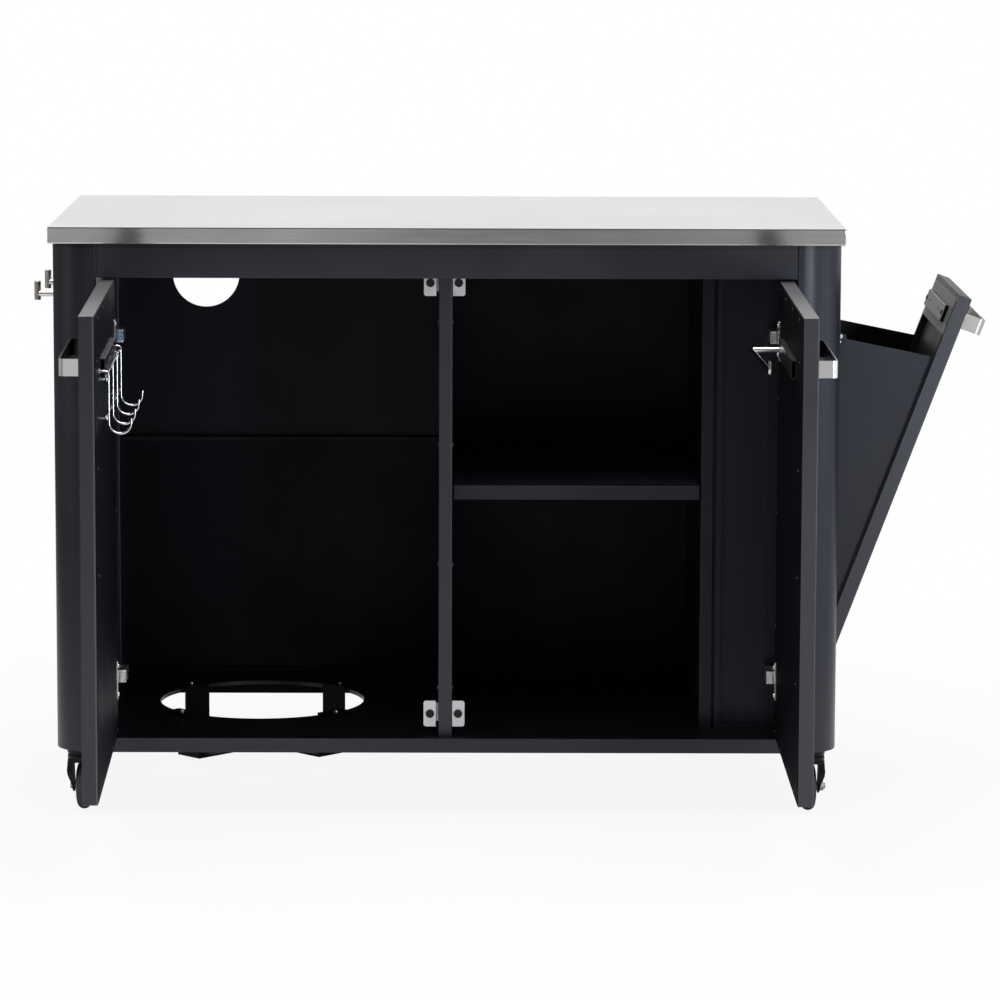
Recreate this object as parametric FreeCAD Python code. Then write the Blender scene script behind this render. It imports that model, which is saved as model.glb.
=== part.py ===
import FreeCAD, Part
import math
import os

# Grill cart with storage: a stainless worktop on a folded sheet steel cabinet with two doors,
# a tilt-out waste bin on the right side, a gas bottle bay with a floor cut-out on the left,
# and four swivel casters. Millimetres, +Z up, front towards -Y, +X to the right of the front.
# The origin is on the floor under the centre of the worktop.
# The doors and the bin are drawn shut and then turned to the open pose they rest in.

V = FreeCAD.Vector
X_AXIS, Y_AXIS, Z_AXIS = V(1, 0, 0), V(0, 1, 0), V(0, 0, 1)

# Worktop
TOP_L, TOP_D, TOP_Z = 1200.0, 600.0, 906.0
TOP_FALL = 25.0
TOP_SHEET = 1.5
TOP_LIP = 40.0
TOP_EDGE_R, TOP_LOW_R = 1.2, 2.0

# Cabinet frame
CAB_X, CAB_Y = 599.0, 280.0
CAB_BOTTOM = 100.0
CAB_TOP = TOP_Z - TOP_FALL
FLOOR_Z = 122.0
SHEET = 1.5
THIN = 1.2
POST_W, POST_D, POST_R = 70.0, 108.0, 60.0
JAMB_X = CAB_X - POST_W
POST_BACK_Y = CAB_Y - POST_D
RAIL_Z, RAIL_DEEP, FRONT_RAIL_DEEP = 828.0, 30.0, 26.0
END_PLATE = 3.0
REAR_RAIL_Z, SIDE_RAIL_Z = 842.0, 832.3
REAR_Y = 266.0
REAR_SEAM_LOW, REAR_SEAM_HIGH = 516.0, 526.0
REAR_LIP_Y = 258.0
HOSE_X, HOSE_Z, HOSE_R = -394.0, 782.0, 54.0

# Inner walls and shelf
DIVIDER_X0, DIVIDER_X1, DIVIDER_FRONT = -12.5, 8.5, -255.0
INNER_BACK = 257.5
SHELF_TOP, SHELF_T, SHELF_FRONT = 501.0, 21.5, -195.0
PART_X0, PART_X1, PART_FRONT = 390.0, 410.0, -190.0
SHELF_GAP = 1.5

# Gas bottle cut-out and cradle
BOTTLE_X, BOTTLE_Y, BOTTLE_R = -295.0, 41.0, 162.0
COLLAR_DEEP = 6.0
STRAP_W, STRAP_T, STRAP_DROP = 50.0, 3.0, 71.0
LEG_R, TAB_END, TAB_SCREW = 158.0, 185.0, 171.0

# Doors
DOOR_T, DOOR_W = 23.0, 523.5
DOOR_SIDE_GAP = 4.0
DOOR_Z0, DOOR_Z1 = FLOOR_Z + 3.5, RAIL_Z - 3.5
DOOR_HINGE_X = JAMB_X - DOOR_SIDE_GAP
LEFT_OPEN, RIGHT_OPEN = 88.8, 90.0
LIP = 14.0

# Hinges: the pin is close to the outer corner of the door
PIVOT_X, PIVOT_Y = JAMB_X - 9.1, -CAB_Y + 5.0
HINGE_ZS = (737.0, 213.0)
PIN_R, PIN_FIT = 2.0, 0.05
EYE_R = 3.3
ARM_HALF, EAR_GAP, EAR_T = 9.5, 0.6, 2.0
LEAF_W, LEAF_HALF, LEAF_T = 24.0, 30.0, 1.5
NOTCH_U = 9.5

# Strap handles
HANDLE_L, HANDLE_OUT, HANDLE_H, HANDLE_T, HANDLE_R = 266.0, 37.0, 25.0, 3.0, 8.0
DOOR_HANDLE_Z = 737.0
BACKING_H, BACKING_T, BACKING_WALL = 27.0, 8.0, 1.5
DOOR_BACKING_L, BIN_BACKING_L = 274.0, 248.0
BACKING_HOLES = ((115.0, 3.2), (65.0, 1.6))

# Hook rack on the left door, measured from the hinge edge
RACK_US = (100.0, 208.0, 316.0, 424.0)
RACK_TOP_Z, RACK_RAIL_Z, RACK_LOW_Z, RACK_BOTTOM_Z, RACK_TIP_Z = 735.0, 728.0, 670.0, 646.0, 668.0
RACK_OFF, RACK_RAIL_OFF, RACK_REACH, RACK_WIRE = 14.0, 10.6, 31.0, 1.75
RACK_STUDS = ((119.0, 721.0), (405.0, 721.0), (119.0, 665.2), (405.0, 665.2))

# Paper roll holder on the right door, measured from the hinge edge
ROLL_U0, ROLL_U1, ROLL_Z, ROLL_TIP_Z = 110.0, 402.0, 733.0, 750.5
ROLL_OFF0, ROLL_OFF1, ROLL_R = 49.5, 37.5, 4.3

# Tilt-out bin
BIN_OPEN = 20.5
BIN_PIVOT_X, BIN_PIVOT_Z = 587.0, 239.8
BIN_T, BIN_HALF_Y = 22.0, 169.0
BIN_Z1 = SIDE_RAIL_Z - 3.5
BIN_PRESS, BIN_PRESS_Z0, BIN_PRESS_Z1, BIN_PRESS_Y = 10.0, 183.0, 762.0, 154.5
BIN_BODY_Y, BIN_BODY_X, BIN_BODY_Z = 156.0, 428.0, 179.8
BIN_RIM_DROP, BIN_RIM_SLOPE = 100.0, 9.1
BIN_PIN_R = 4.0
BIN_HANDLE_Z = 791.0
STOP_X, STOP_Z, STOP_R, STOP_GAP = 570.0, 634.0, 5.0, 0.3
STRAP_BOLTS = ((432.3, 704.0, 2.0), (433.5, 696.0, 1.2), (434.2, 690.0, 1.2), (435.0, 640.0, 2.0))

# Side hooks
HOOK_YS, HOOK_X, HOOK_Z = (-90.0, 90.0), -634.6, 785.0

# Magnet catches on the divider, and the screws along its front edge
CATCH_ZS = (819.3, 156.0)
CATCH_W, CATCH_HALF, CATCH_LEFT_GAP, CATCH_RIGHT_GAP = 18.6, 20.0, 3.9, 0.6
CATCH_FACE, CATCH_FOLD, CATCH_LEG = -253.5, -238.0, -222.0
DIVIDER_SCREW_ZS = (758.0, 571.0, 386.0, 195.0)

# Casters: swivel axis, then the wheel trailing behind it
CASTER_X, CASTER_Y = 558.5, 242.0
WHEEL_R, AXLE_R, TRAIL = 37.5, 4.0, 22.0
DISC_R, DISC_Z, RACE_Z = 24.0, 92.0, 90.8
CAP_R, CAP_Z0, CAP_Z1 = 23.5, 84.2, 90.4
CROWN_Z0, CROWN_Z1 = 79.0, 83.2
KING_R, HUB_HALF, FORK_IN = 4.0, 13.2, 14.4


def box(x0, x1, y0, y1, z0, z1):
    return Part.makeBox(x1 - x0, y1 - y0, z1 - z0, V(x0, y0, z0))


def rod(x, y, z, axis, radius, length):
    return Part.makeCylinder(radius, length, V(x, y, z), axis)


def fuse(first, *others):
    return first.fuse(list(others)).removeSplitter()


def group(shapes):
    return Part.makeCompound([solid for shape in shapes for solid in shape.Solids])


def mirror_x(shape):
    return shape.mirror(V(0, 0, 0), X_AXIS)


def mirror_y(shape):
    return shape.mirror(V(0, 0, 0), Y_AXIS)


def turned(shape, centre, axis, degrees):
    copy = shape.copy()
    copy.rotate(centre, axis, degrees)
    return copy


def edges_along(shape, axis, test):
    """Straight edges parallel to an axis whose middle passes the test."""
    found = []
    for edge in shape.Edges:
        a, b = edge.Vertexes[0].Point, edge.Vertexes[-1].Point
        run = b - a
        if run.Length > 1e-6 and abs(run.normalize().dot(axis)) > 0.999 and test((a + b) * 0.5):
            found.append(edge)
    return found


def near(value, target):
    return abs(value - target) < 0.01


def round_edges(shape, radius, axis, test):
    return shape.makeFillet(radius, edges_along(shape, axis, test))


def hollow_post(wall):
    """One corner post's outline at front right, pulled in by the wall thickness."""
    x1, y0 = CAB_X - wall, -CAB_Y + wall
    body = box(JAMB_X + wall, x1, y0, -POST_BACK_Y - wall, CAB_BOTTOM, CAB_TOP)
    body = round_edges(body, POST_R - wall, Z_AXIS, lambda p: near(p.x, x1) and near(p.y, y0))
    small = max(2.0 - wall, 0.4)
    return round_edges(body, small, Z_AXIS, lambda p: not (p.x > x1 - 20 and p.y < y0 + 20))


def corner_post():
    pin = rod(BIN_PIVOT_X, -POST_BACK_Y - 5, BIN_PIVOT_Z, Y_AXIS, BIN_PIN_R + PIN_FIT, 10)
    return hollow_post(0).cut(hollow_post(SHEET)), pin


def end_plates():
    """Plates welded inside the ends of a post; the lower one takes the caster stem."""
    inner = hollow_post(SHEET)
    low = inner.common(box(0, 700, -400, 0, CAB_BOTTOM, CAB_BOTTOM + END_PLATE))
    high = inner.common(box(0, 700, -400, 0, CAB_TOP - END_PLATE, CAB_TOP))
    stem = rod(CASTER_X, -CASTER_Y, CAB_BOTTOM - 1, Z_AXIS, 5, END_PLATE + 2)
    return [low.cut(stem), high.cut(rod(CASTER_X, -CASTER_Y, CAB_TOP - 5, Z_AXIS, 3.2, 10))]


def square_tube(x0, x1, y0, y1, z0, z1, along, wall=SHEET, radius=1.5):
    """A folded box rail, open at the ends it runs between."""
    outer = box(x0, x1, y0, y1, z0, z1)
    outer = outer.makeFillet(radius, edges_along(outer, along, lambda p: True))
    grow = [0 if along.dot(a) > 0.5 else wall for a in (X_AXIS, Y_AXIS, Z_AXIS)]
    inner = box(x0 + grow[0], x1 - grow[0], y0 + grow[1], y1 - grow[1], z0 + grow[2], z1 - grow[2])
    return outer.cut(inner)


def pan(x0, x1, y0, y1, z0, z1, face, wall=THIN, lip=LIP, radius=1.5, low_radius=0.0):
    """A shallow folded tray whose skin is on one side and whose lips turn in on the other."""
    outer = box(x0, x1, y0, y1, z0, z1)
    if face == "-Y":
        skin = lambda p: p.y < y1 - 0.5
        hollow = box(x0 + wall, x1 - wall, y0 + wall, y1 - wall, z0 + wall, z1 - wall)
        mouth = box(x0 + lip, x1 - lip, y1 - 2 * wall, y1 + 1, z0 + lip, z1 - lip)
    elif face == "+X":
        skin = lambda p: p.x > x0 + 0.5
        hollow = box(x0 + wall, x1 - wall, y0 + wall, y1 - wall, z0 + wall, z1 - wall)
        mouth = box(x0 - 1, x0 + 2 * wall, y0 + lip, y1 - lip, z0 + lip, z1 - lip)
    else:
        skin = lambda p: p.z > z0 + 0.5
        hollow = box(x0 + wall, x1 - wall, y0 + wall, y1 - wall, z0 + wall, z1 - wall)
        mouth = box(x0 + lip, x1 - lip, y0 + lip, y1 - lip, z0 - 1, z0 + 2 * wall)
    edges = [e for e in outer.Edges if skin((e.Vertexes[0].Point + e.Vertexes[-1].Point) * 0.5)]
    outer = outer.makeFillet(radius, edges)
    if low_radius:
        low = [e for e in outer.Edges if all(near(v.Point.z, z0) for v in e.Vertexes)]
        outer = outer.makeFillet(low_radius, low)
    return outer.cut(hollow).cut(mouth)


def worktop_skin():
    half_l, half_d = TOP_L / 2, TOP_D / 2
    return pan(-half_l, half_l, -half_d, half_d, CAB_TOP, TOP_Z, "+Z", TOP_SHEET, TOP_LIP, TOP_EDGE_R,
               TOP_LOW_R)


def hat(x0, x1, y, z0, z1, width, flange):
    """A hat section that runs along X with its crown up."""
    crown = box(x0, x1, y - width / 2, y + width / 2, z0, z1)
    bore = box(x0 - 1, x1 + 1, y - width / 2 + SHEET, y + width / 2 - SHEET, z0 - 1, z1 - SHEET)
    left = box(x0, x1, y - width / 2 - flange, y - width / 2 + SHEET, z0, z0 + SHEET)
    right = box(x0, x1, y + width / 2 - SHEET, y + width / 2 + flange, z0, z0 + SHEET)
    return fuse(crown.cut(bore), left, right)


def worktop_stiffeners():
    half = TOP_L / 2 - TOP_LIP - 4
    under = TOP_Z - TOP_SHEET
    return group([hat(-half, half, y, under - 20, under, 60, 15) for y in (-150.0, 0.0, 150.0)])


def floor_pan():
    """The cabinet floor with its edges turned down, notched round the posts."""
    outline = box(-CAB_X, CAB_X, -CAB_Y, CAB_Y, CAB_BOTTOM, FLOOR_Z)
    core = box(-CAB_X + SHEET, CAB_X - SHEET, -CAB_Y + SHEET, CAB_Y - SHEET, CAB_BOTTOM - 1, FLOOR_Z - SHEET)
    keep = box(-JAMB_X, JAMB_X, -CAB_Y, CAB_Y, 0, 200).fuse(
        box(-CAB_X, CAB_X, -POST_BACK_Y, POST_BACK_Y, 0, 200))
    shell = outline.cut(core).common(keep)
    lip_in = 16.0
    front_lip = box(-JAMB_X, JAMB_X, -CAB_Y, -CAB_Y + lip_in, CAB_BOTTOM, CAB_BOTTOM + SHEET)
    shell = fuse(shell, front_lip, mirror_y(front_lip))
    collar = rod(BOTTLE_X, BOTTLE_Y, FLOOR_Z - COLLAR_DEEP, Z_AXIS, BOTTLE_R + SHEET, COLLAR_DEEP)
    hole = rod(BOTTLE_X, BOTTLE_Y, 0, Z_AXIS, BOTTLE_R, 300)
    return shell.fuse(collar).cut(hole).removeSplitter()


def floor_stiffeners():
    """Folded beams under the floor, behind and in front of the bottle cut-out and on the right."""
    beams = []
    for y in (-215.0, 226.0):
        outer = box(-520, 520, y - 14, y + 14, CAB_BOTTOM, FLOOR_Z - SHEET)
        inner = box(-521, 521, y - 14 + SHEET, y + 14 - SHEET, CAB_BOTTOM - 1, FLOOR_Z - 2 * SHEET)
        beams.append(outer.cut(inner))
    return group(beams)


def upper_rails():
    """Rear and side top rails between the posts; the rear one sits higher, clear of the hose hole."""
    side = square_tube(CAB_X - RAIL_DEEP, CAB_X, -POST_BACK_Y, POST_BACK_Y, SIDE_RAIL_Z, CAB_TOP, Y_AXIS)
    rear = square_tube(-JAMB_X, JAMB_X, CAB_Y - RAIL_DEEP, CAB_Y, REAR_RAIL_Z, CAB_TOP, X_AXIS)
    return group([side, mirror_x(side), rear])


def front_top_rail():
    return square_tube(-JAMB_X, JAMB_X, -CAB_Y, -CAB_Y + FRONT_RAIL_DEEP, RAIL_Z, CAB_TOP, X_AXIS)


def left_side_panel():
    panel = pan(CAB_X - BIN_T, CAB_X, -POST_BACK_Y, POST_BACK_Y, FLOOR_Z, SIDE_RAIL_Z, "+X")
    return mirror_x(panel)


def rear_lower_panel():
    """Lower rear sheet with a rolled ledge at its top and a kick strip at the floor."""
    sheet = box(-JAMB_X, JAMB_X, REAR_Y, REAR_Y + SHEET, FLOOR_Z, REAR_SEAM_LOW)
    ledge = box(-JAMB_X, JAMB_X, REAR_LIP_Y, REAR_Y, REAR_SEAM_LOW - SHEET, REAR_SEAM_LOW)
    nose = box(-JAMB_X, JAMB_X, REAR_LIP_Y, REAR_LIP_Y + SHEET, REAR_SEAM_LOW - 7, REAR_SEAM_LOW)
    kick = box(-JAMB_X, JAMB_X, REAR_LIP_Y, REAR_LIP_Y + SHEET, FLOOR_Z, FLOOR_Z + 12)
    kick_top = box(-JAMB_X, JAMB_X, REAR_LIP_Y, REAR_Y, FLOOR_Z + 12 - SHEET, FLOOR_Z + 12)
    return fuse(sheet, ledge, nose, kick, kick_top)


def rear_upper_panel():
    """Upper rear sheet with the gas hose hole; its foot steps back behind the lower sheet."""
    back = REAR_Y + 4
    sheet = box(-JAMB_X, JAMB_X, REAR_Y, REAR_Y + SHEET, REAR_SEAM_HIGH, REAR_RAIL_Z)
    step = box(-JAMB_X, JAMB_X, REAR_Y, back + SHEET, REAR_SEAM_HIGH, REAR_SEAM_HIGH + SHEET)
    foot = box(-JAMB_X, JAMB_X, back, back + SHEET, REAR_SEAM_LOW - 30, REAR_SEAM_HIGH + SHEET)
    return fuse(sheet, step, foot).cut(rod(HOSE_X, REAR_Y - 5, HOSE_Z, Y_AXIS, HOSE_R, 20))


def upright_wall(x0, x1, y0):
    """A double-skinned upright wall, folded as a flat tube standing on the floor."""
    return square_tube(x0, x1, y0, INNER_BACK, FLOOR_Z, RAIL_Z, Z_AXIS, THIN, 1.5)


def shelf():
    x0, x1 = DIVIDER_X1 + SHELF_GAP, PART_X0 - SHELF_GAP
    return pan(x0, x1, SHELF_FRONT, INNER_BACK - 1.5, SHELF_TOP - SHELF_T, SHELF_TOP, "+Z", THIN, 12.0, 1.2)


def shelf_brackets():
    """Small angles on the divider and the bin wall that carry the shelf."""
    z = SHELF_TOP - SHELF_T
    parts = []
    for y in (-150.0, 200.0):
        foot = box(DIVIDER_X1, DIVIDER_X1 + 16, y, y + 25, z - SHEET, z)
        back = box(DIVIDER_X1, DIVIDER_X1 + SHEET, y, y + 25, z - 18, z)
        left = fuse(foot, back)
        parts.append(left)
        right = left.mirror(V((DIVIDER_X1 + PART_X0) / 2, 0, 0), X_AXIS)
        parts.append(right)
    return group(parts)


def bin_bay_front():
    """Cover between the bin wall and the front post, folded with a raised strip along its left side."""
    x0, x1 = PART_X1 + 3.5, PART_X1 + 11.0
    y_main = PART_FRONT + 8
    main = box(x1, JAMB_X, y_main, y_main + SHEET, FLOOR_Z, RAIL_Z)
    strip = box(x0, x1 + SHEET, PART_FRONT, PART_FRONT + SHEET, FLOOR_Z, RAIL_Z)
    web = box(x1, x1 + SHEET, PART_FRONT, y_main + SHEET, FLOOR_Z, RAIL_Z)
    left = box(x0, x0 + SHEET, PART_FRONT, y_main + 8, FLOOR_Z, RAIL_Z)
    foot = box(PART_X1, x0 + SHEET, y_main + 8 - SHEET, y_main + 8, FLOOR_Z, RAIL_Z)
    kick = box(x1 + SHEET, JAMB_X, PART_FRONT, PART_FRONT + SHEET, FLOOR_Z, FLOOR_Z + 7)
    kick_top = box(x1 + SHEET, JAMB_X, PART_FRONT, y_main, FLOOR_Z + 7 - SHEET, FLOOR_Z + 7)
    return fuse(main, strip, web, left, foot, kick, kick_top)


def cradle_strap(bottom):
    """One strap along X: screw tabs on the floor, legs inside the cut-out, a flat bottom."""
    floor, top = FLOOR_Z - bottom, FLOOR_Z + STRAP_T
    half, leg_in = STRAP_W / 2, LEG_R - STRAP_T
    base = box(-LEG_R, LEG_R, -half, half, floor, floor + STRAP_T)
    leg = box(leg_in, LEG_R, -half, half, floor, top)
    tab = box(leg_in, TAB_END, -half, half, FLOOR_Z, top)
    tab = tab.cut(rod(TAB_SCREW, 0, FLOOR_Z - 1, Z_AXIS, 2.5, 10))
    return fuse(base, leg, tab, mirror_x(leg), mirror_x(tab))


def placed_strap(bottom, degrees):
    strap = cradle_strap(bottom)
    strap.rotate(V(0, 0, 0), Z_AXIS, degrees)
    strap.translate(V(BOTTLE_X, BOTTLE_Y, 0))
    return strap


def cradle_straps():
    return group([placed_strap(STRAP_DROP, 45), placed_strap(STRAP_DROP - STRAP_T, -45)])


def cradle_screw_points():
    step = TAB_SCREW * math.sqrt(0.5)
    return [(BOTTLE_X + i * step, BOTTLE_Y + j * step) for i, j in ((1, 1), (-1, 1), (-1, -1), (1, -1))]


def pan_screw(shank, length, head_r, head_h):
    """A pan-head screw pointing down with its head's underside at the origin."""
    head = Part.makeCylinder(head_r, head_h, V(0, 0, 0), Z_AXIS)
    head = head.makeFillet(head_h * 0.45, [e for e in head.Edges if e.Vertexes[0].Point.z > head_h - 0.01
                                           and e.Length > 2 * head_r])
    head = head.cut(box(-head_r * 0.5, head_r * 0.5, -0.4, 0.4, head_h * 0.6, head_h + 1))
    head = head.cut(box(-0.4, 0.4, -head_r * 0.5, head_r * 0.5, head_h * 0.6, head_h + 1))
    return head.fuse(Part.makeCylinder(shank, length, V(0, 0, -length), Z_AXIS)).removeSplitter()


def cradle_screws():
    screws = []
    for x, y in cradle_screw_points():
        screw = pan_screw(2.5, STRAP_T + 7, 4.6, 2.6)
        screw.translate(V(x, y, FLOOR_Z + STRAP_T))
        screws.append(screw)
    return group(screws)


def screw_holes(shape):
    for x, y in cradle_screw_points():
        shape = shape.cut(rod(x, y, FLOOR_Z - 20, Z_AXIS, 2.5, 30))
    return shape


def hinge_arm():
    """Hinge arm of the left side at height zero: jamb plate, fluted block, strap and the eye round the pin."""
    x_jamb = -JAMB_X
    plate = box(x_jamb, x_jamb + 2, -251, -206, -24, 24)
    plate = plate.makeFillet(4, edges_along(plate, X_AXIS, lambda p: True))
    block = box(x_jamb, x_jamb + 38.5, -253, -204, -ARM_HALF, ARM_HALF)
    block = round_edges(block, 1.5, Z_AXIS, lambda p: p.x > x_jamb + 30)
    flute = box(x_jamb + 6, x_jamb + 40, -254, -251.8, -ARM_HALF + 2, ARM_HALF - 2)
    slot = box(x_jamb + 4, x_jamb + 28, -240, -212, ARM_HALF - 4, ARM_HALF + 1)
    strap = box(-PIVOT_X - 1.5, -PIVOT_X + 1.5, PIVOT_Y, -252, -ARM_HALF, ARM_HALF)
    eye = rod(-PIVOT_X, PIVOT_Y, -ARM_HALF, Z_AXIS, EYE_R, 2 * ARM_HALF)
    bore = rod(-PIVOT_X, PIVOT_Y, -ARM_HALF - 1, Z_AXIS, PIN_R + PIN_FIT, 2 * ARM_HALF + 2)
    return fuse(plate, block.cut(flute), strap, eye).cut(bore).cut(slot)


def hinge_arms():
    arms = []
    for z in HINGE_ZS:
        arm = hinge_arm()
        arm.translate(V(0, 0, z))
        arms += [arm, mirror_x(arm)]
    return group(arms)


def on_both_sides(piece):
    """A piece drawn against a wall at x = 0 on its left, set on both faces of the divider."""
    left, right = piece.copy(), mirror_x(piece)
    left.translate(V(DIVIDER_X0, 0, 0))
    right.translate(V(DIVIDER_X1, 0, 0))
    return [left, right]


def catch_plate(z, gap):
    """Catch plate beside a wall at x = 0: face with the magnet hole, folded back, then out to the wall."""
    x0, x1, y0 = -gap - CATCH_W, -gap, CATCH_FACE
    front = box(x0, x1, y0, y0 + SHEET, z - CATCH_HALF, z + CATCH_HALF)
    front = round_edges(front, 4, Y_AXIS, lambda p: near(p.x, x0))
    web = box(x1 - SHEET, x1, y0, CATCH_FOLD, z - 14, z + 14)
    link = box(x1 - SHEET, 0, CATCH_FOLD - SHEET, CATCH_FOLD, z - 14, z + 14)
    leg = box(-SHEET, 0, CATCH_FOLD - SHEET, CATCH_LEG, z - 14, z + 14)
    return fuse(front, web, link, leg).cut(rod(magnet_x(gap), -260, z, Y_AXIS, 3.0, 12))


def magnet_x(gap):
    return -gap - CATCH_W / 2 + 0.6


def catch_magnet(z, gap):
    cup = rod(magnet_x(gap), -256.4, z, Y_AXIS, 6.4, 2.9)
    cup = cup.makeFillet(0.5, [e for e in cup.Edges if len(e.Vertexes) == 1 and e.Vertexes[0].Point.y < -256])
    return fuse(cup, rod(magnet_x(gap), -254, z, Y_AXIS, 3.0, 5.0))


def catch_pairs(piece):
    pairs = []
    for z in CATCH_ZS:
        pairs.append(on_both_sides(piece(z, CATCH_LEFT_GAP))[0])
        pairs.append(on_both_sides(piece(z, CATCH_RIGHT_GAP))[1])
    return group(pairs)


def side_hooks():
    """Wall hooks on the left side: a rosette, a post and an upright pin."""
    parts = []
    for y in HOOK_YS:
        rosette = rod(-CAB_X - 4, y, HOOK_Z, X_AXIS, 10, 4)
        post = rod(HOOK_X, y, HOOK_Z, X_AXIS, 5, -CAB_X - 3 - HOOK_X)
        pin = rod(HOOK_X, y, HOOK_Z - 10, Z_AXIS, 5, 29.5)
        pin = pin.makeFillet(0.8, [e for e in pin.Edges if e.Length > 25 and len(e.Vertexes) == 1])
        parts.append(fuse(rosette, post, pin))
    return group(parts)


def divider_screws():
    """Screw heads on both faces of the divider close to its front edge."""
    parts = []
    for z in DIVIDER_SCREW_ZS:
        screw = pan_screw(2.0, THIN, 3.6, 1.8)
        screw.rotate(V(0, 0, 0), Y_AXIS, -90)
        screw.translate(V(0, DIVIDER_FRONT + 8, z))
        parts += on_both_sides(screw)
    return group(parts)


def divider_panel():
    wall = upright_wall(DIVIDER_X0, DIVIDER_X1, DIVIDER_FRONT)
    for z in DIVIDER_SCREW_ZS:
        wall = wall.cut(rod(DIVIDER_X0 - 5, DIVIDER_FRONT + 8, z, X_AXIS, 2.0, 40))
    return wall


def hinge_notch(z):
    """Room in the left door for the hinge arm and the ears of the hinge leaf."""
    half = ARM_HALF + EAR_GAP + EAR_T
    x = -DOOR_HINGE_X
    return box(x - 1, x + NOTCH_U, -CAB_Y + THIN, -CAB_Y + DOOR_T + 5, z - half, z + half)


def door_outer():
    x0 = -DOOR_HINGE_X
    tray = pan(x0, x0 + DOOR_W, -CAB_Y, -CAB_Y + DOOR_T - 1, DOOR_Z0, DOOR_Z1, "-Y")
    for z in HINGE_ZS:
        tray = tray.cut(hinge_notch(z))
    return tray


def door_liner():
    x0, edge = -DOOR_HINGE_X, 2.0
    y0 = -CAB_Y + DOOR_T - 1
    sheet = box(x0 + edge, x0 + DOOR_W - edge, y0, y0 + 1, DOOR_Z0 + edge, DOOR_Z1 - edge)
    sheet = sheet.makeFillet(2, edges_along(sheet, Y_AXIS, lambda p: True))
    for z in HINGE_ZS:
        sheet = sheet.cut(hinge_notch(z))
    return sheet


def hinge_leaf(z):
    """Leaf on the inner face of the left door with two ears that hold the pin."""
    x0, face = -DOOR_HINGE_X, -CAB_Y + DOOR_T
    arm = ARM_HALF + EAR_GAP
    plate = box(x0 + 2.5, x0 + LEAF_W, face, face + LEAF_T, z - LEAF_HALF, z + LEAF_HALF)
    plate = round_edges(plate, 5, Y_AXIS, lambda p: p.x > x0 + 20)
    plate = plate.cut(box(x0, x0 + NOTCH_U, face - 1, face + 5, z - arm, z + arm))
    ears = []
    for z0 in (z - arm - EAR_T, z + arm):
        ear = box(x0 + 2.5, x0 + NOTCH_U, -CAB_Y + 2.0, face + LEAF_T, z0, z0 + EAR_T)
        ears.append(ear)
    leaf = fuse(plate, *ears)
    leaf = leaf.cut(rod(-PIVOT_X, PIVOT_Y, z - 20, Z_AXIS, PIN_R, 40))
    for dz in (-22, 22):
        leaf = leaf.cut(rod(x0 + 16, face - 1, z + dz, Y_AXIS, 2.2, 5))
    half = arm + EAR_T + 1
    pin = rod(-PIVOT_X, PIVOT_Y, z - half, Z_AXIS, PIN_R, 2 * half)
    return [leaf, pin] + [leaf_screw(x0 + 16, face + LEAF_T, z + dz) for dz in (-22, 22)]


def leaf_screw(x, y, z):
    screw = pan_screw(2.2, LEAF_T, 3.8, 1.8)
    screw.rotate(V(0, 0, 0), X_AXIS, -90)
    screw.translate(V(x, y, z))
    return screw


def leaf_pin_room(shape):
    """Clear the ends of the hinge pins out of the folded edge of the door."""
    for z in HINGE_ZS:
        half = ARM_HALF + EAR_GAP + EAR_T + 2
        shape = shape.cut(rod(-PIVOT_X, PIVOT_Y, z - half, Z_AXIS, PIN_R + 0.4, 2 * half))
    return shape


def strap_handle():
    """Bent flat bar handle along X, its feet on the plane y = 0 and its grip towards -Y."""
    half = HANDLE_L / 2
    outer = box(-half, half, -HANDLE_OUT, 0, -HANDLE_H / 2, HANDLE_H / 2)
    outer = round_edges(outer, HANDLE_R, Z_AXIS, lambda p: p.y < -1)
    inner = box(-half + HANDLE_T, half - HANDLE_T, -HANDLE_OUT + HANDLE_T, 1, -HANDLE_H, HANDLE_H)
    inner = round_edges(inner, HANDLE_R - HANDLE_T, Z_AXIS, lambda p: p.y < -1)
    return outer.cut(inner)


def backing_bar(length):
    """Cover channel behind the handle screws, along X, open at its ends, its back on the plane y = 0."""
    half, inside = length / 2, BACKING_H / 2 - BACKING_WALL
    bar = box(-half, half, 0, BACKING_T, -BACKING_H / 2, BACKING_H / 2)
    bar = bar.makeFillet(1.2, edges_along(bar, X_AXIS, lambda p: p.y > 1))
    bar = bar.cut(box(-half - 1, half + 1, BACKING_WALL, BACKING_T - BACKING_WALL, -inside, inside))
    for x, radius in BACKING_HOLES:
        bar = bar.cut(rod(x, BACKING_T - 3, 0, Y_AXIS, radius, 10))
        bar = bar.cut(rod(-x, BACKING_T - 3, 0, Y_AXIS, radius, 10))
    return bar


def wire_rod(points, radius, bends):
    """A round wire through the points, with a bend radius for each inner corner."""
    corners = [V(*p) for p in points]
    edges, start = [], corners[0]
    for a, b, c, bend in zip(corners, corners[1:], corners[2:], bends):
        d1, d2 = (b - a).normalize(), (c - b).normalize()
        half_turn = d1.getAngle(d2) / 2
        run = bend * math.tan(half_turn)
        p1, p2 = b - d1 * run, b + d2 * run
        inward = (d2 - d1).normalize()
        middle = b + inward * (bend / math.cos(half_turn) - bend)
        if (p1 - start).Length > 0.001:
            edges.append(Part.LineSegment(start, p1).toShape())
        edges.append(Part.Arc(p1, middle, p2).toShape())
        start = p2
    edges.append(Part.LineSegment(start, corners[-1]).toShape())
    path = Part.Wire(edges)
    ring = Part.Wire(Part.Circle(corners[0], (corners[1] - corners[0]).normalize(), radius).toShape())
    return path.makePipeShell([ring], True, False)


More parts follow.
